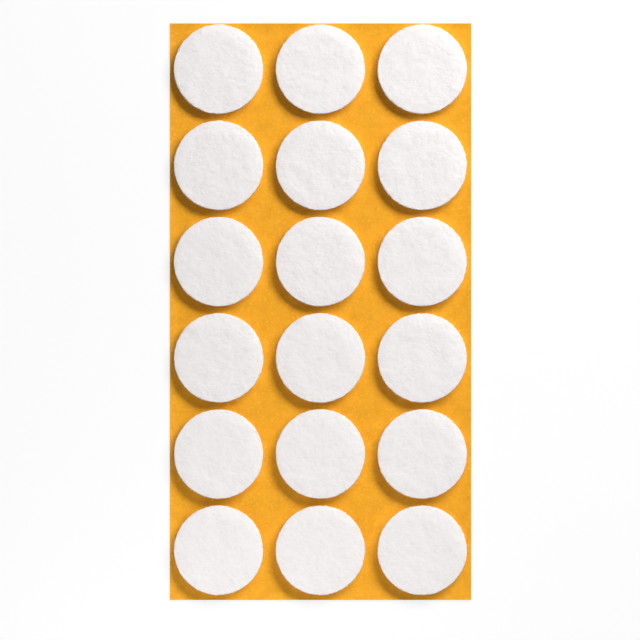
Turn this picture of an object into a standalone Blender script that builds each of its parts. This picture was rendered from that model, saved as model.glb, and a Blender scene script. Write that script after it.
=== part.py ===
"""A sheet of round self-adhesive felt furniture pads.

The pads are punched from felt that is backed with an adhesive film. They stand in rows and
columns on one release liner, and each peels off the liner together with its own adhesive.
Metres, +Z up. The origin is at the centre of the liner's underside, with the liner's width
along X and its length along Y.
"""

import math

import bmesh
import bpy

# The pattern of pads
COLUMNS = 3
ROWS = 6
PAD_DIAMETER = 0.030
GAP_ACROSS = 0.00444  # bare liner between two pads of one row
GAP_ALONG = 0.00256  # bare liner between two pads of one column

# The liner, a little larger than the pattern on every side
LINER_THICKNESS = 0.00015
MARGIN_LEFT = 0.00150
MARGIN_RIGHT = 0.00166
MARGIN_TOP = 0.00054
MARGIN_BOTTOM = 0.00184

# One pad
ADHESIVE_THICKNESS = 0.0002
FELT_THICKNESS = 0.0033
SHOULDER_WIDTH = 0.0020  # how far in from the rim the punch has pressed the felt's face down
SHOULDER_DROP = 0.0006  # how far down it is pressed at the rim

# Layers that lie on each other keep this gap, so that no two solids share a surface
LAYER_GAP = 0.00002

# How finely the round shapes are drawn
ROUND_STEPS = 48
SHOULDER_STEPS = 3
MERGE_DISTANCE = 0.000001

PAD_RADIUS = PAD_DIAMETER / 2
PITCH_ACROSS = PAD_DIAMETER + GAP_ACROSS
PITCH_ALONG = PAD_DIAMETER + GAP_ALONG
LINER_WIDTH = MARGIN_LEFT + COLUMNS * PITCH_ACROSS - GAP_ACROSS + MARGIN_RIGHT
LINER_LENGTH = MARGIN_BOTTOM + ROWS * PITCH_ALONG - GAP_ALONG + MARGIN_TOP
FIRST_COLUMN_X = -LINER_WIDTH / 2 + MARGIN_LEFT + PAD_RADIUS
FIRST_ROW_Y = LINER_LENGTH / 2 - MARGIN_TOP - PAD_RADIUS
ADHESIVE_BASE_Z = LINER_THICKNESS + LAYER_GAP
FELT_BASE_Z = ADHESIVE_BASE_Z + ADHESIVE_THICKNESS + LAYER_GAP


def clear_scene():
    for old in list(bpy.data.objects):
        bpy.data.objects.remove(old)


def plain_material(name, colour, roughness):
    """A Principled material of one colour."""
    material = bpy.data.materials.new(name)
    material.use_nodes = True
    shader = material.node_tree.nodes["Principled BSDF"]
    shader.inputs["Base Color"].default_value = (*colour, 1.0)
    shader.inputs["Roughness"].default_value = roughness
    shader.inputs["Metallic"].default_value = 0.0
    return material


def place(name, mesh, location, collection):
    """Adds an object that shows the mesh at the location."""
    piece = bpy.data.objects.new(name, mesh)
    piece.location = location
    collection.objects.link(piece)
    return piece


def liner_mesh(material):
    """The release liner: a plain rectangle of siliconised paper, standing on z = 0."""
    form = bmesh.new()
    bmesh.ops.create_cube(form, size=1.0)
    bmesh.ops.scale(form, vec=(LINER_WIDTH, LINER_LENGTH, LINER_THICKNESS), verts=form.verts)
    bmesh.ops.translate(form, vec=(0.0, 0.0, LINER_THICKNESS / 2), verts=form.verts)
    mesh = bpy.data.meshes.new("release_liner")
    form.to_mesh(mesh)
    form.free()
    mesh.materials.append(material)
    return mesh


def adhesive_mesh(material):
    """One pad's adhesive film: a thin disc, standing on its own z = 0."""
    form = bmesh.new()
    bmesh.ops.create_cone(
        form,
        cap_ends=True,
        segments=ROUND_STEPS,
        radius1=PAD_RADIUS,
        radius2=PAD_RADIUS,
        depth=ADHESIVE_THICKNESS,
    )
    bmesh.ops.translate(form, vec=(0.0, 0.0, ADHESIVE_THICKNESS / 2), verts=form.verts)
    mesh = bpy.data.meshes.new("adhesive")
    form.to_mesh(mesh)
    form.free()
    mesh.shade_smooth()
    mesh.set_sharp_from_angle(angle=math.radians(40))
    mesh.materials.append(material)
    return mesh


def felt_profile_mesh(material):
    """Half a section through one felt disc, from the middle of its face to the middle of its base."""
    inner = PAD_RADIUS - SHOULDER_WIDTH
    rim_top = FELT_THICKNESS - SHOULDER_DROP
    points = [(0.0, FELT_THICKNESS)]
    for step in range(SHOULDER_STEPS + 1):
        turn = math.radians(90) * step / SHOULDER_STEPS
        points.append((inner + SHOULDER_WIDTH * math.sin(turn), rim_top + SHOULDER_DROP * math.cos(turn)))
    points += [(PAD_RADIUS, 0.0), (0.0, 0.0)]

    form = bmesh.new()
    corners = [form.verts.new((across, 0.0, up)) for across, up in points]
    for start, end in zip(corners, corners[1:]):
        form.edges.new((start, end))
    mesh = bpy.data.meshes.new("felt_profile")
    form.to_mesh(mesh)
    form.free()
    mesh.materials.append(material)
    return mesh


def turn_round(piece):
    """Turns the piece's half section about its own Z axis."""
    screw = piece.modifiers.new("turn", "SCREW")
    screw.axis = "Z"
    screw.angle = math.radians(360)
    screw.steps = ROUND_STEPS
    screw.render_steps = ROUND_STEPS
    screw.use_merge_vertices = True
    screw.merge_threshold = MERGE_DISTANCE
    screw.use_smooth_shade = True


def build_sheet():
    collection = bpy.data.collections.new("felt_furniture_pad_sheet")
    bpy.context.scene.collection.children.link(collection)

    liner_paper = plain_material("liner_paper", (0.90, 0.41, 0.03), 0.45)
    adhesive_film = plain_material("adhesive_film", (0.80, 0.76, 0.62), 0.30)
    white_felt = plain_material("white_felt", (0.87, 0.84, 0.83), 0.95)

    place("release_liner", liner_mesh(liner_paper), (0.0, 0.0, 0.0), collection)
    adhesive = adhesive_mesh(adhesive_film)
    felt = felt_profile_mesh(white_felt)
    for row in range(ROWS):
        for column in range(COLUMNS):
            x = FIRST_COLUMN_X + column * PITCH_ACROSS
            y = FIRST_ROW_Y - row * PITCH_ALONG
            spot = f"r{row + 1}_c{column + 1}"
            place(f"adhesive_{spot}", adhesive, (x, y, ADHESIVE_BASE_Z), collection)
            turn_round(place(f"felt_pad_{spot}", felt, (x, y, FELT_BASE_Z), collection))


clear_scene()
build_sheet()
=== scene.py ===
import bisect
import math
import random

import bmesh
import bpy
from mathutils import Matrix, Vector, noise


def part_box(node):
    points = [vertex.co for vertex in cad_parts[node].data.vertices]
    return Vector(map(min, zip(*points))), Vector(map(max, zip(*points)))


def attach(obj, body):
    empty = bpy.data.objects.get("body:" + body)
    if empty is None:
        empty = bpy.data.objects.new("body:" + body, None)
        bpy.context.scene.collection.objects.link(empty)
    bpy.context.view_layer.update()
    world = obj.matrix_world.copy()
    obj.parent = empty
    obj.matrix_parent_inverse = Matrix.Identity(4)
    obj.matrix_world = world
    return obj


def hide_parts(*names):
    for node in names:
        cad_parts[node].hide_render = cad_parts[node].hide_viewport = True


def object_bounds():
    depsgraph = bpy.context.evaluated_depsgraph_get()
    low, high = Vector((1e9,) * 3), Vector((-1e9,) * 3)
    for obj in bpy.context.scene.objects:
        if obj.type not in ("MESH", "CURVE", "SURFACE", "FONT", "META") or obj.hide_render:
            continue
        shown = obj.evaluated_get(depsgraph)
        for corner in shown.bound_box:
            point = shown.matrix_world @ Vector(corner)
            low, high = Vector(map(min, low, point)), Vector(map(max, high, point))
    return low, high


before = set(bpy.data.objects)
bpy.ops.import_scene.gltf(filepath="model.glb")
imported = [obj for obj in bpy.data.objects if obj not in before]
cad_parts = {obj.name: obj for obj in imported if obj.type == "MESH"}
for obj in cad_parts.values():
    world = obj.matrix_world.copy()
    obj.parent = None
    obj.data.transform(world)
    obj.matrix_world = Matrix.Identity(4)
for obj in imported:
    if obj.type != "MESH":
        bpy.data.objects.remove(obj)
cad_low, cad_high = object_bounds()
MM = 0.001


# Release liner
# A sheet of thin orange-yellow paper, coated with silicone on its upper side so that the adhesive
# lets go of it. It is guillotined square around the pads. Where no pad holds it flat, the paper
# cockles by a few hundredths of a millimetre, and its cut edges curl up by a few tenths.
LINER_CELL = 1.3 * MM
COCKLE_HEIGHT = 0.035 * MM
COCKLE_LENGTH = 9 * MM
FINE_COCKLE_LENGTH = COCKLE_LENGTH / 2.3
COCKLE_CLEARANCE = 3 * MM
EDGE_CURL = 0.3 * MM
EDGE_REACH = 4 * MM
CURL_CLEARANCE = 1 * MM
LINER_ROUGHNESS = 0.55
LINER_SPECULAR = 0.22
LINER_ORANGE = (0.875, 0.383, 0.015)
LINER_ORANGE_DEEP = (0.775, 0.332, 0.010)
LINER_THIN = (0.91, 0.45, 0.028)
LINER_SPECK = (0.66, 0.25, 0.004)
FORMATION_SIZE = 4 * MM
THIN_SPOT_SIZE = 0.8 * MM
SPECK_SIZE = 0.9 * MM
COAT_WAVE_SIZE = 1.4 * MM
COAT_WAVE_DEPTH = 0.03 * MM
PAPER_FIBRE_SIZE = 0.4 * MM
PAPER_FIBRE_DEPTH = 0.006 * MM
BACK_ROUGHNESS = 0.85
BACK_SPECULAR = 0.25
LINER_BACK = (0.84, 0.50, 0.13)
LINER_BACK_LIGHT = (0.88, 0.57, 0.19)
BACK_FORMATION_SIZE = 3 * MM
BACK_FIBRE_SIZE = 0.35 * MM
BACK_FIBRE_DEPTH = 0.02 * MM
SHARP_EDGE = math.radians(50)


def new_material(name, colour, roughness):
    """A Principled material of one colour, with its node tree and shader."""
    material = bpy.data.materials.new(name)
    material.use_nodes = True
    tree = material.node_tree
    shader = tree.nodes["Principled BSDF"]
    shader.inputs["Base Color"].default_value = (*colour, 1.0)
    shader.inputs["Roughness"].default_value = roughness
    return material, tree, shader


def place_pattern(tree, turn=(0.0, 0.0, 0.0), stretch=(1.0, 1.0, 1.0)):
    """Object coordinates, turned and stretched, for a pattern to read."""
    coordinates = tree.nodes.new("ShaderNodeTexCoord")
    mapping = tree.nodes.new("ShaderNodeMapping")
    mapping.inputs["Rotation"].default_value = turn
    mapping.inputs["Scale"].default_value = stretch
    tree.links.new(coordinates.outputs["Object"], mapping.inputs["Vector"])
    return mapping.outputs["Vector"]


def cloud(tree, vector, size, detail=3.0, low=0.3, high=0.7):
    """Noise with spots of the given size in metres, spread so that low to high becomes 0 to 1."""
    texture = tree.nodes.new("ShaderNodeTexNoise")
    texture.inputs["Scale"].default_value = 1 / size
    texture.inputs["Detail"].default_value = detail
    spread = tree.nodes.new("ShaderNodeMapRange")
    spread.inputs["From Min"].default_value = low
    spread.inputs["From Max"].default_value = high
    tree.links.new(vector, texture.inputs["Vector"])
    tree.links.new(texture.outputs["Fac"], spread.inputs["Value"])
    return spread.outputs["Result"]


def mix_colours(tree, share, first, second):
    """The first colour where the share is 0, the second where it is 1. Each is a colour or a socket."""
    mix = tree.nodes.new("ShaderNodeMix")
    mix.data_type = "RGBA"
    tree.links.new(share, mix.inputs["Factor"])
    for name, colour in (("A", first), ("B", second)):
        socket = next(s for s in mix.inputs if s.name == name and s.type == "RGBA")
        if isinstance(colour, tuple):
            socket.default_value = (*colour, 1.0)
        else:
            tree.links.new(colour, socket)
    return next(s for s in mix.outputs if s.type == "RGBA")


def raise_bumps(tree, shader, height, depth, strength=1.0):
    """Bumps of the given depth in metres, after any that the shader has."""
    bump = tree.nodes.new("ShaderNodeBump")
    bump.inputs["Strength"].default_value = strength
    bump.inputs["Distance"].default_value = depth
    tree.links.new(height, bump.inputs["Height"])
    if shader.inputs["Normal"].links:
        tree.links.new(shader.inputs["Normal"].links[0].from_socket, bump.inputs["Normal"])
    tree.links.new(bump.outputs["Normal"], shader.inputs["Normal"])


def silicone_paper():
    """The liner's upper side: dyed paper seen through a thin silicone coat."""
    material, tree, shader = new_material("silicone_paper", LINER_ORANGE, LINER_ROUGHNESS)
    shader.inputs["Specular IOR Level"].default_value = LINER_SPECULAR
    vector = place_pattern(tree)
    formation = cloud(tree, vector, FORMATION_SIZE, detail=5.0)
    thin_spots = cloud(tree, vector, THIN_SPOT_SIZE, detail=2.0, low=0.52, high=0.80)
    specks = cloud(tree, vector, SPECK_SIZE, detail=2.0, low=0.64, high=0.90)
    colour = mix_colours(tree, formation, LINER_ORANGE, LINER_ORANGE_DEEP)
    colour = mix_colours(tree, thin_spots, colour, LINER_THIN)
    colour = mix_colours(tree, specks, colour, LINER_SPECK)
    tree.links.new(colour, shader.inputs["Base Color"])
    raise_bumps(tree, shader, cloud(tree, vector, COAT_WAVE_SIZE, detail=3.0), COAT_WAVE_DEPTH)
    for turn in (0.0, math.radians(90)):
        along_fibres = place_pattern(tree, turn=(0.0, 0.0, turn), stretch=(0.2, 1.0, 1.0))
        raise_bumps(tree, shader, cloud(tree, along_fibres, PAPER_FIBRE_SIZE), PAPER_FIBRE_DEPTH)
    return material


def bare_paper():
    """The liner's underside and cut edges: the same paper, paler and without a coat."""
    material, tree, shader = new_material("bare_paper", LINER_BACK, BACK_ROUGHNESS)
    shader.inputs["Specular IOR Level"].default_value = BACK_SPECULAR
    vector = place_pattern(tree)
    formation = cloud(tree, vector, BACK_FORMATION_SIZE, detail=5.0)
    fibres = cloud(tree, place_pattern(tree, stretch=(1.0, 0.25, 1.0)), BACK_FIBRE_SIZE)
    colour = mix_colours(tree, formation, LINER_BACK, LINER_BACK_LIGHT)
    tree.links.new(colour, shader.inputs["Base Color"])
    raise_bumps(tree, shader, fibres, BACK_FIBRE_DEPTH)
    return material


def pad_places():
    """Each pad's centre and radius in plan, under its row and column as they stand in its node's name."""
    places = {}
    for name in sorted(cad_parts):
        if name.startswith("felt_pad_"):
            low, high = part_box(name)
            places[name.removeprefix("felt_pad_")] = (((low + high) / 2).to_2d(), (high.x - low.x) / 2)
    return places


def lift_paper(point, low, high, places):
    """How far the liner lifts at a point: nothing under a pad or next to it, and never downwards."""
    clear = min((point.to_2d() - centre).length - radius for centre, radius in places.values())
    free = min(max(clear / COCKLE_CLEARANCE, 0.0), 1.0)
    wave = noise.noise(point / COCKLE_LENGTH) + 0.5 * noise.noise(point / FINE_COCKLE_LENGTH)
    inset = min(point.x - low.x, high.x - point.x, point.y - low.y, high.y - point.y)
    curl = EDGE_CURL * max(1 - inset / EDGE_REACH, 0.0) ** 2 * min(max(clear / CURL_CLEARANCE, 0.0), 1.0)
    return COCKLE_HEIGHT * free * max(0.5 + wave, 0.0) + curl


def model_liner():
    low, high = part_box("release_liner")
    size = high - low
    form = bmesh.new()
    bmesh.ops.create_grid(
        form, x_segments=round(size.x / LINER_CELL), y_segments=round(size.y / LINER_CELL), size=0.5
    )
    bmesh.ops.scale(form, vec=(size.x, size.y, 1.0), verts=form.verts)
    bmesh.ops.translate(form, vec=((low.x + high.x) / 2, (low.y + high.y) / 2, low.z), verts=form.verts)
    top = bmesh.ops.extrude_face_region(form, geom=form.faces[:])["geom"]
    top_corners = [part for part in top if isinstance(part, bmesh.types.BMVert)]
    bmesh.ops.translate(form, vec=(0.0, 0.0, size.z), verts=top_corners)
    places = pad_places()
    for corner in form.verts:
        corner.co.z += lift_paper(Vector((corner.co.x, corner.co.y, 0.0)), low, high, places)
    bmesh.ops.recalc_face_normals(form, faces=form.faces[:])
    for face in form.faces:
        face.smooth = True
        face.material_index = 0 if face.normal.z > 0.5 else 1
    return form


def add_piece(name, form, *materials):
    """Makes the finished mesh an object at the origin, riding on the part's one body."""
    mesh = bpy.data.meshes.new(name)
    form.to_mesh(mesh)
    form.free()
    mesh.set_sharp_from_angle(angle=SHARP_EDGE)
    for material in materials:
        mesh.materials.append(material)
    piece = bpy.data.objects.new(name, mesh)
    bpy.context.scene.collection.objects.link(piece)
    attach(piece, "root")
    return piece


liner = add_piece("liner", model_liner(), silicone_paper(), bare_paper())
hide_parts("release_liner")


# Adhesive films
# A thin disc of tacky acrylic under each pad, punched out together with its felt. Only its cut
# edge shows, as a pale glossy line between the felt and the liner.
ADHESIVE_CREAM = (0.82, 0.77, 0.62)
ADHESIVE_AMBER = (0.74, 0.66, 0.45)
ADHESIVE_ROUGHNESS = 0.25
ADHESIVE_IOR = 1.47
ADHESIVE_PATCH_SIZE = 2 * MM
DIMPLE_SIZE = 0.3 * MM
DIMPLE_DEPTH = 0.02 * MM


def acrylic_adhesive():
    material, tree, shader = new_material("acrylic_adhesive", ADHESIVE_CREAM, ADHESIVE_ROUGHNESS)
    shader.inputs["IOR"].default_value = ADHESIVE_IOR
    vector = place_pattern(tree)
    colour = mix_colours(tree, cloud(tree, vector, ADHESIVE_PATCH_SIZE), ADHESIVE_CREAM, ADHESIVE_AMBER)
    tree.links.new(colour, shader.inputs["Base Color"])
    raise_bumps(tree, shader, cloud(tree, vector, DIMPLE_SIZE), DIMPLE_DEPTH)
    return material


adhesive_material = acrylic_adhesive()
for name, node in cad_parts.items():
    if name.startswith("adhesive_"):
        node.data.materials.clear()
        node.data.materials.append(adhesive_material)


# Felt pads
# White needle-punched polyester felt, punched into discs. The punch presses the rim of each face
# down, most on the side where it bites first, and the cut wall stays fuzzy. The wall is painted
# whiter than the face: painted light that stands in for light coming through the felt and out of
# its wall, which lightens the gaps between pads. Fibres lie over the face in loops.
FACE_RINGS = 37
RIM_RINGS = 6
WALL_RINGS = 10
PRESSED_FLAT = 9.5 * MM
PRESSED_TILT = math.radians(11)
CRISP_FLAT = 11.5 * MM
CRISP_TILT = math.radians(3)
RIM_ROUND = 0.12 * MM
PRESSED_TURN = math.radians(50)
SWELL_SIZE = 5.0 * MM
SWELL_HEIGHT = 0.13 * MM
LUMP_SIZE = 2.3 * MM
LUMP_HEIGHT = 0.055 * MM
TUFT_SIZE = 1.15 * MM
TUFT_HEIGHT = 0.038 * MM
RAGGED_SIZE = 0.85 * MM
RAGGED_DEPTH = 0.20 * MM
FOOT_HEIGHT = 0.4 * MM
FIBRE_RADIUS = 0.016 * MM
FIBRE_CLEARANCE = 0.1 * MM
FACE_FIBRES = 430
RIM_FIBRES = 330
WALL_FIBRES = 400
RIM_START = 13.8 * MM
WALL_START = 15.6 * MM
WALL_END = 0.3 * MM
WELD_DISTANCE = 0.0005 * MM
FELT_ROUGHNESS = 0.5
FELT_SPECULAR = 0.5
FELT_SHEEN = 0.12
FELT_SHEEN_ROUGHNESS = 0.6
FELT_WHITE = (0.865, 0.832, 0.823)
FELT_SHADE = (0.835, 0.802, 0.793)
# Painted glow: the wall's whiter colour stands in for light passing through the felt and out of its wall.
FELT_PAINTED_WALL_GLOW = (0.965, 0.945, 0.925)
CUT_BELOW = 1.0 * MM
CUT_FADE = 0.4 * MM
FRAY_SIZE = 0.22 * MM
FRAY_DEPTH = 0.06 * MM
MOTTLING_SIZE = 1.6 * MM
CREASE_SIZE = 2.4 * MM
CREASE_WIDTH = 0.11
CREASE_DEPTH = 0.022 * MM
NEEDLE_MARK_SIZE = 0.9 * MM
NEEDLE_MARK_DEPTH = 0.02 * MM
BUNDLE_SIZE = 0.25 * MM
BUNDLE_DEPTH = 0.005 * MM
BUNDLE_STRENGTH = 0.4


def crease(tree, vector, size):
    """0 along short winding lines, where tufts of about the given size in metres meet, and 1 elsewhere."""
    texture = tree.nodes.new("ShaderNodeTexNoise")
    texture.inputs["Scale"].default_value = 1 / size
    texture.inputs["Detail"].default_value = 1.0
    tree.links.new(vector, texture.inputs["Vector"])
    offset = tree.nodes.new("ShaderNodeMath")
    offset.operation = "SUBTRACT"
    offset.inputs[1].default_value = 0.5
    tree.links.new(texture.outputs["Fac"], offset.inputs[0])
    away = tree.nodes.new("ShaderNodeMath")
    away.operation = "ABSOLUTE"
    tree.links.new(offset.outputs["Value"], away.inputs[0])
    valley = tree.nodes.new("ShaderNodeMapRange")
    valley.interpolation_type = "SMOOTHSTEP"
    valley.inputs["From Max"].default_value = CREASE_WIDTH
    tree.links.new(away.outputs["Value"], valley.inputs["Value"])
    shown = cloud(tree, vector, 2.2 * size, detail=1.0, low=0.44, high=0.56)
    filled = tree.nodes.new("ShaderNodeMath")
    filled.operation = "MAXIMUM"
    tree.links.new(valley.outputs["Result"], filled.inputs[0])
    tree.links.new(shown, filled.inputs[1])
    return filled.outputs["Value"]


def felt_white():
    """Fibre bundles crossing in three directions, creases, needle marks and a frayed cut wall, painted whiter
    as a painted glow of light through the felt.
    """
    material, tree, shader = new_material("needled_felt", FELT_WHITE, FELT_ROUGHNESS)
    shader.inputs["Specular IOR Level"].default_value = FELT_SPECULAR
    shader.inputs["Sheen Weight"].default_value = FELT_SHEEN
    shader.inputs["Sheen Roughness"].default_value = FELT_SHEEN_ROUGHNESS
    mottling = cloud(tree, place_pattern(tree), MOTTLING_SIZE, detail=4.0)
    colour = mix_colours(tree, mottling, FELT_WHITE, FELT_SHADE)
    place = tree.nodes.new("ShaderNodeSeparateXYZ")
    tree.links.new(place_pattern(tree), place.inputs["Vector"])
    # Painted light: below the face the colour is mixed to a whiter one, standing in for light that passes
    # through the felt and out of its wall; the same band carries the wall's fray bumps.
    cut = tree.nodes.new("ShaderNodeMapRange")
    cut.inputs["From Min"].default_value = cad_high.z - CUT_BELOW
    cut.inputs["From Max"].default_value = cad_high.z - CUT_BELOW - CUT_FADE
    tree.links.new(place.outputs["Z"], cut.inputs["Value"])
    colour = mix_colours(tree, cut.outputs["Result"], colour, FELT_PAINTED_WALL_GLOW)
    tree.links.new(colour, shader.inputs["Base Color"])
    frayed = tree.nodes.new("ShaderNodeMath")
    frayed.operation = "MULTIPLY"
    tree.links.new(cut.outputs["Result"], frayed.inputs[0])
    fray = cloud(tree, place_pattern(tree, stretch=(1.0, 1.0, 0.5)), FRAY_SIZE)
    tree.links.new(fray, frayed.inputs[1])
    raise_bumps(tree, shader, frayed.outputs["Value"], FRAY_DEPTH)
    for turn in (0.9, 2.3):
        vector = place_pattern(tree, turn=(0.0, 0.0, turn), stretch=(0.7, 1.0, 1.0))
        raise_bumps(tree, shader, crease(tree, vector, CREASE_SIZE), CREASE_DEPTH)
    needle_marks = cloud(tree, place_pattern(tree), NEEDLE_MARK_SIZE, detail=1.0, low=0.30, high=0.45)
    raise_bumps(tree, shader, needle_marks, NEEDLE_MARK_DEPTH)
    for turn in (0.3, 1.4, 2.5):
        vector = place_pattern(tree, turn=(0.0, 0.0, turn), stretch=(0.2, 1.0, 1.0))
        bundles = cloud(tree, vector, BUNDLE_SIZE, detail=1.0)
        raise_bumps(tree, shader, bundles, BUNDLE_DEPTH, strength=BUNDLE_STRENGTH)
    return material


def felt_section(radius, base, top, flat, tilt):
    """Half a section of one pad's skin as (radius, height) points, from the face's middle to the wall's foot.

    The face is level out to the flat radius, then curves down to the tilt at the rim."""
    shoulder = (radius - RIM_ROUND + RIM_ROUND * math.sin(tilt) - flat) / math.sin(tilt)
    points = []
    for ring in range(FACE_RINGS + 1):
        across = (flat + shoulder * math.sin(tilt)) * ring / FACE_RINGS
        turn = math.asin(max(across - flat, 0.0) / shoulder)
        points.append((across, top - shoulder * (1 - math.cos(turn))))
    rim_centre = points[-1][1] - RIM_ROUND * math.cos(tilt)
    for ring in range(1, RIM_RINGS + 1):
        turn = tilt + (math.radians(90) - tilt) * ring / RIM_RINGS
        across = radius - RIM_ROUND + RIM_ROUND * math.sin(turn)
        points.append((across, rim_centre + RIM_ROUND * math.cos(turn)))
    for ring in range(1, WALL_RINGS + 1):
        points.append((radius, rim_centre + (base - rim_centre) * ring / WALL_RINGS))
    return points


def ring_distances(points):
    """How far each point of a section lies from the face's middle, measured along the skin."""
    distances = [0.0]
    for (r0, z0), (r1, z1) in zip(points, points[1:]):
        distances.append(distances[-1] + math.hypot(r1 - r0, z1 - z0))
    return distances


def felt_skin(radius, base, top):
    """The section on the pressed side and the one on the crisp side, with the rings' distances."""
    pressed = felt_section(radius, base, top, PRESSED_FLAT, PRESSED_TILT)
    crisp = felt_section(radius, base, top, CRISP_FLAT, CRISP_TILT)
    return pressed, crisp, ring_distances(pressed)


def wrap(skin, centre, across, along, lift=0.0):
    """A point of the felt's skin laid out flat around the pad's middle, put back on the pad."""
    pressed, crisp, distances = skin
    distance = math.hypot(across, along)
    ring = min(max(bisect.bisect_left(distances, distance) - 1, 0), len(distances) - 2)
    share = min((distance - distances[ring]) / (distances[ring + 1] - distances[ring]), 1.0)
    turn = math.atan2(along, across)
    side = 0.5 + 0.5 * math.cos(turn - PRESSED_TURN)
    (r0, z0), (r1, z1) = (
        [crisp[step][axis] + (pressed[step][axis] - crisp[step][axis]) * side for axis in (0, 1)]
        for step in (ring, ring + 1)
    )
    length = math.hypot(r1 - r0, z1 - z0)
    outward, upward = (z0 - z1) / length, (r1 - r0) / length
    r = r0 + (r1 - r0) * share + outward * lift
    z = z0 + (z1 - z0) * share + upward * lift
    return Vector((centre.x + r * math.cos(turn), centre.y + r * math.sin(turn), z)), outward


def round_off(u, v, distances):
    """Moves a point of the square from -1 to 1 onto a circle, each square ring at its own distance."""
    ring = round(max(abs(u), abs(v)) * (len(distances) - 1))
    if ring == 0:
        return 0.0, 0.0
    if abs(u) >= abs(v):
        turn = v / u * math.pi / 4
        reach = math.copysign(distances[ring], u)
        return reach * math.cos(turn), reach * math.sin(turn)
    turn = u / v * math.pi / 4
    reach = math.copysign(distances[ring], v)
    return reach * math.sin(turn), reach * math.cos(turn)


def relief(point, outward):
    """The felt's own unevenness: low lumps and tufts on the face, and a ragged outline at the wall."""
    swell = SWELL_HEIGHT * noise.noise(point / SWELL_SIZE)
    lumps = swell + LUMP_HEIGHT * noise.noise(point / LUMP_SIZE)
    lumps = lumps + TUFT_HEIGHT * noise.noise(point / TUFT_SIZE)
    ragged = noise.noise(point / RAGGED_SIZE) + 0.5 * noise.noise(point / (RAGGED_SIZE / 2.4))
    return lumps + outward * RAGGED_DEPTH * ragged


def lay_fibres(skin, centre, draws):
    """Loops of fibre over the face, the rim and the wall, each rooted in the felt at both ends."""
    full = skin[2][-1]
    section = bpy.data.curves.new("fibre_section", "CURVE")
    section.dimensions = "2D"
    triangle = section.splines.new("POLY")
    triangle.points.add(2)
    for corner, point in enumerate(triangle.points):
        turn = math.radians(120) * corner
        point.co = (FIBRE_RADIUS * math.cos(turn), FIBRE_RADIUS * math.sin(turn), 0.0, 1.0)
    triangle.use_cyclic_u = True
    section_object = bpy.data.objects.new("fibre_section", section)
    curve = bpy.data.curves.new("fibres", "CURVE")
    curve.dimensions = "3D"
    curve.bevel_mode = "OBJECT"
    curve.bevel_object = section_object
    curve.use_fill_caps = True
    kinds = (
        (FACE_FIBRES, 0.0, RIM_START, (1.0, 2.6), (0.02, 0.08)),
        (RIM_FIBRES, RIM_START, WALL_START, (0.5, 1.5), (0.04, 0.16)),
        (WALL_FIBRES, WALL_START, full - WALL_END, (0.4, 1.3), (0.05, 0.20)),
    )
    for count, nearest, furthest, lengths, rises in kinds:
        for _ in range(count):
            distance = math.sqrt(draws.uniform(nearest**2, furthest**2))
            turn = draws.uniform(0, 2 * math.pi)
            heading = draws.uniform(0, 2 * math.pi)
            length = draws.uniform(*lengths) * MM
            rise = draws.uniform(*rises) * MM
            bend = draws.uniform(-0.6, 0.6)
            spline = curve.splines.new("POLY")
            spline.points.add(3)
            for step, (share, lift) in enumerate(((-0.5, -0.6), (-0.2, 0.8), (0.2, 1.0), (0.5, -0.6))):
                way = heading + bend * share
                across = distance * math.cos(turn) + length * share * math.cos(way)
                along = distance * math.sin(turn) + length * share * math.sin(way)
                reach = math.hypot(across, along)
                if reach > full - FIBRE_CLEARANCE:
                    across *= (full - FIBRE_CLEARANCE) / reach
                    along *= (full - FIBRE_CLEARANCE) / reach
                point, outward = wrap(skin, centre, across, along)
                point = wrap(skin, centre, across, along, relief(point, outward) + lift * rise)[0]
                spline.points[step].co = (*point, 1.0)
                spline.points[step].radius = 0.5 if step in (0, 3) else 1.0
    fibres = bpy.data.objects.new("fibres", curve)
    bpy.context.scene.collection.objects.link(fibres)
    graph = bpy.context.evaluated_depsgraph_get()
    mesh = bpy.data.meshes.new_from_object(fibres.evaluated_get(graph))
    for helper in (fibres, section_object):
        bpy.data.objects.remove(helper)
    for helper in (curve, section):
        bpy.data.curves.remove(helper)
    return mesh


def model_pad(spot, centre, radius):
    """One pad: a grid wrapped over the face and down the wall, closed underneath, with its fibres."""
    low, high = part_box("felt_pad_" + spot)
    skin = felt_skin(radius, low.z, high.z)
    cells = 2 * (FACE_RINGS + RIM_RINGS + WALL_RINGS)
    form = bmesh.new()
    bmesh.ops.create_grid(form, x_segments=cells, y_segments=cells, size=1.0)
    for corner in form.verts:
        across, along = round_off(corner.co.x, corner.co.y, skin[2])
        point, outward = wrap(skin, centre, across, along)
        foot = min(max((point.z - low.z) / FOOT_HEIGHT, 0.0), 1.0)
        corner.co = wrap(skin, centre, across, along, relief(point, outward) * foot)[0]
    rim = [edge for edge in form.edges if edge.is_boundary]
    bmesh.ops.holes_fill(form, edges=rim)
    draws = random.Random("felt " + spot)
    fibres = lay_fibres(skin, centre, draws)
    form.from_mesh(fibres)
    bpy.data.meshes.remove(fibres)
    bmesh.ops.remove_doubles(form, verts=form.verts, dist=WELD_DISTANCE)
    bmesh.ops.recalc_face_normals(form, faces=form.faces[:])
    for face in form.faces:
        face.smooth = True
        face.material_index = 0
    return form


felt_material = felt_white()
for spot, (centre, radius) in pad_places().items():
    pad = add_piece("felt_" + spot, model_pad(spot, centre, radius), felt_material)
    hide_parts("felt_pad_" + spot)


# Floor
# A wide white studio floor that sweeps up into a low wall all round. It shows white to the camera,
# and takes only a faint shadow of the sheet.
FLOOR_RADIUS = 4.0
COVE_RADIUS = 1.0
WALL_HEIGHT = 2.2
FLOOR_GAP = 0.05 * MM
COVE_STEPS = 12
SWEEP_STEPS = 96
FLOOR_ROUGHNESS = 0.9
FLOOR_WHITE = (0.95, 0.95, 0.95)
GLOW_SHARE = 0.75


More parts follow.
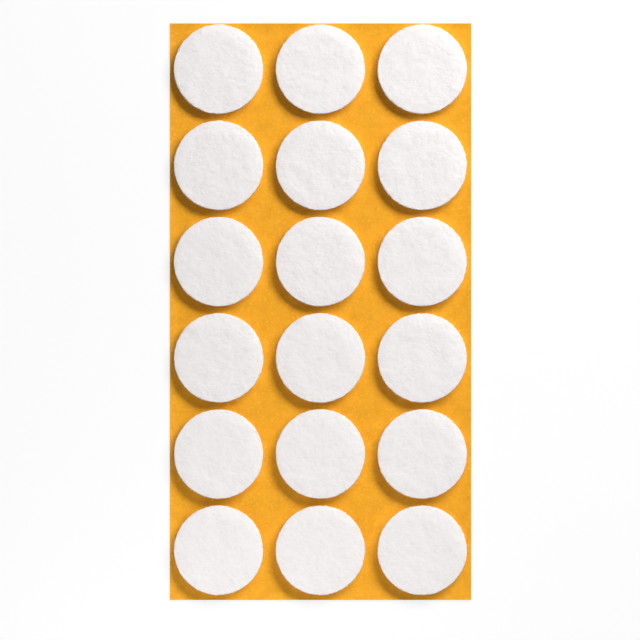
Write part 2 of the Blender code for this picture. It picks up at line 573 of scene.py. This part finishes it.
def seen_ray(tree):
    """1 for what the camera, a reflection or a look through glass sees, and 0 for light."""
    path = tree.nodes.new("ShaderNodeLightPath")
    seen = path.outputs["Is Camera Ray"]
    for name in ("Is Glossy Ray", "Is Transmission Ray"):
        either = tree.nodes.new("ShaderNodeMath")
        either.operation = "MAXIMUM"
        tree.links.new(seen, either.inputs[0])
        tree.links.new(path.outputs[name], either.inputs[1])
        seen = either.outputs["Value"]
    return seen


def white_paint():
    material, tree, shader = new_material("white_paint", FLOOR_WHITE, FLOOR_ROUGHNESS)
    glow = tree.nodes.new("ShaderNodeEmission")
    glow.inputs["Strength"].default_value = 1.0
    share = tree.nodes.new("ShaderNodeMath")
    share.operation = "MULTIPLY"
    share.inputs[1].default_value = GLOW_SHARE
    both = tree.nodes.new("ShaderNodeMixShader")
    tree.links.new(seen_ray(tree), share.inputs[0])
    tree.links.new(share.outputs["Value"], both.inputs["Fac"])
    tree.links.new(shader.outputs["BSDF"], both.inputs[1])
    tree.links.new(glow.outputs["Emission"], both.inputs[2])
    tree.links.new(both.outputs["Shader"], tree.nodes["Material Output"].inputs["Surface"])
    return material


def sweep_mesh(base):
    """A round floor at the given height, curving up into a wall at its rim."""
    section = [(0.0, base), (FLOOR_RADIUS, base)]
    for step in range(1, COVE_STEPS + 1):
        turn = math.radians(90) * step / COVE_STEPS
        across = FLOOR_RADIUS + COVE_RADIUS * math.sin(turn)
        section.append((across, base + COVE_RADIUS * (1 - math.cos(turn))))
    section.append((FLOOR_RADIUS + COVE_RADIUS, base + WALL_HEIGHT))
    form = bmesh.new()
    corners = [form.verts.new((across, 0.0, up)) for across, up in section]
    lines = [form.edges.new(pair) for pair in zip(corners, corners[1:])]
    bmesh.ops.spin(
        form,
        geom=corners + lines,
        axis=(0.0, 0.0, 1.0),
        cent=(0.0, 0.0, 0.0),
        angle=math.radians(360),
        steps=SWEEP_STEPS,
    )
    bmesh.ops.remove_doubles(form, verts=form.verts, dist=0.1 * MM)
    bmesh.ops.recalc_face_normals(form, faces=form.faces[:])
    inward = min(form.faces, key=lambda face: face.calc_center_median().to_2d().length)
    if inward.normal.z < 0:
        bmesh.ops.reverse_faces(form, faces=form.faces[:])
    mesh = bpy.data.meshes.new("sweep")
    form.to_mesh(mesh)
    form.free()
    mesh.shade_smooth()
    mesh.materials.append(white_paint())
    return mesh


sweep = bpy.data.objects.new("sweep", sweep_mesh(cad_low.z - FLOOR_GAP))
bpy.context.scene.collection.objects.link(sweep)


# Light and camera
# A wide softbox beyond the sheet's top right corner makes the short shadows. A small pale card
# near the bottom left corner and a large softbox overhead open them.
KEY_DISTANCE = 0.88
KEY_WIDTH = 0.82
KEY_DEPTH = 0.35
KEY_POWER = 10.2
KEY_TURN = math.radians(52.5)
KEY_HEIGHT = math.radians(41)
CARD_PLACE = Vector((-0.057, -0.19, 0.13))
CARD_SIZE = 0.15
CARD_POWER = 0.158
TOP_PLACE = Vector((0.0, 0.0, 3.5))
TOP_SIZE = 1.3
TOP_POWER = 8.4
ROOM_LIGHT = 0.015
CAMERA_DISTANCE = 3.0
FRAME_WIDTH = 216.7 * MM
CAMERA_AIM = Vector((-0.175 * MM, -2.825 * MM, 0.0))
SENSOR_WIDTH = 36.0
CLIP_START = 0.01
CLIP_END = 10.0


def add_lamp(name, place, aim, width, depth, power):
    lamp = bpy.data.lights.new(name, "AREA")
    lamp.shape = "ELLIPSE"
    lamp.size = width
    lamp.size_y = depth
    lamp.energy = power
    holder = bpy.data.objects.new(name, lamp)
    holder.location = place
    holder.rotation_euler = (aim - place).to_track_quat("-Z", "Y").to_euler()
    bpy.context.scene.collection.objects.link(holder)


middle = (cad_low + cad_high) / 2
key_way = Vector(
    (
        math.cos(KEY_HEIGHT) * math.cos(KEY_TURN),
        math.cos(KEY_HEIGHT) * math.sin(KEY_TURN),
        math.sin(KEY_HEIGHT),
    )
)
add_lamp("key", middle + KEY_DISTANCE * key_way, middle, KEY_WIDTH, KEY_DEPTH, KEY_POWER)
add_lamp("card", CARD_PLACE, middle, CARD_SIZE, CARD_SIZE, CARD_POWER)
add_lamp("top", TOP_PLACE, middle, TOP_SIZE, TOP_SIZE, TOP_POWER)

world = bpy.data.worlds.new("room")
world.use_nodes = True
room = world.node_tree.nodes["Background"]
room.inputs["Color"].default_value = (1.0, 1.0, 1.0, 1.0)
room.inputs["Strength"].default_value = ROOM_LIGHT
bpy.context.scene.world = world

camera_data = bpy.data.cameras.new("camera")
camera_data.sensor_width = SENSOR_WIDTH
camera_data.lens = SENSOR_WIDTH * CAMERA_DISTANCE / FRAME_WIDTH
camera_data.clip_start = CLIP_START
camera_data.clip_end = CLIP_END
camera = bpy.data.objects.new("camera", camera_data)
camera.location = CAMERA_AIM + Vector((0.0, 0.0, CAMERA_DISTANCE))
bpy.context.scene.collection.objects.link(camera)
bpy.context.scene.camera = camera
bpy.context.scene.view_settings.view_transform = "Standard"
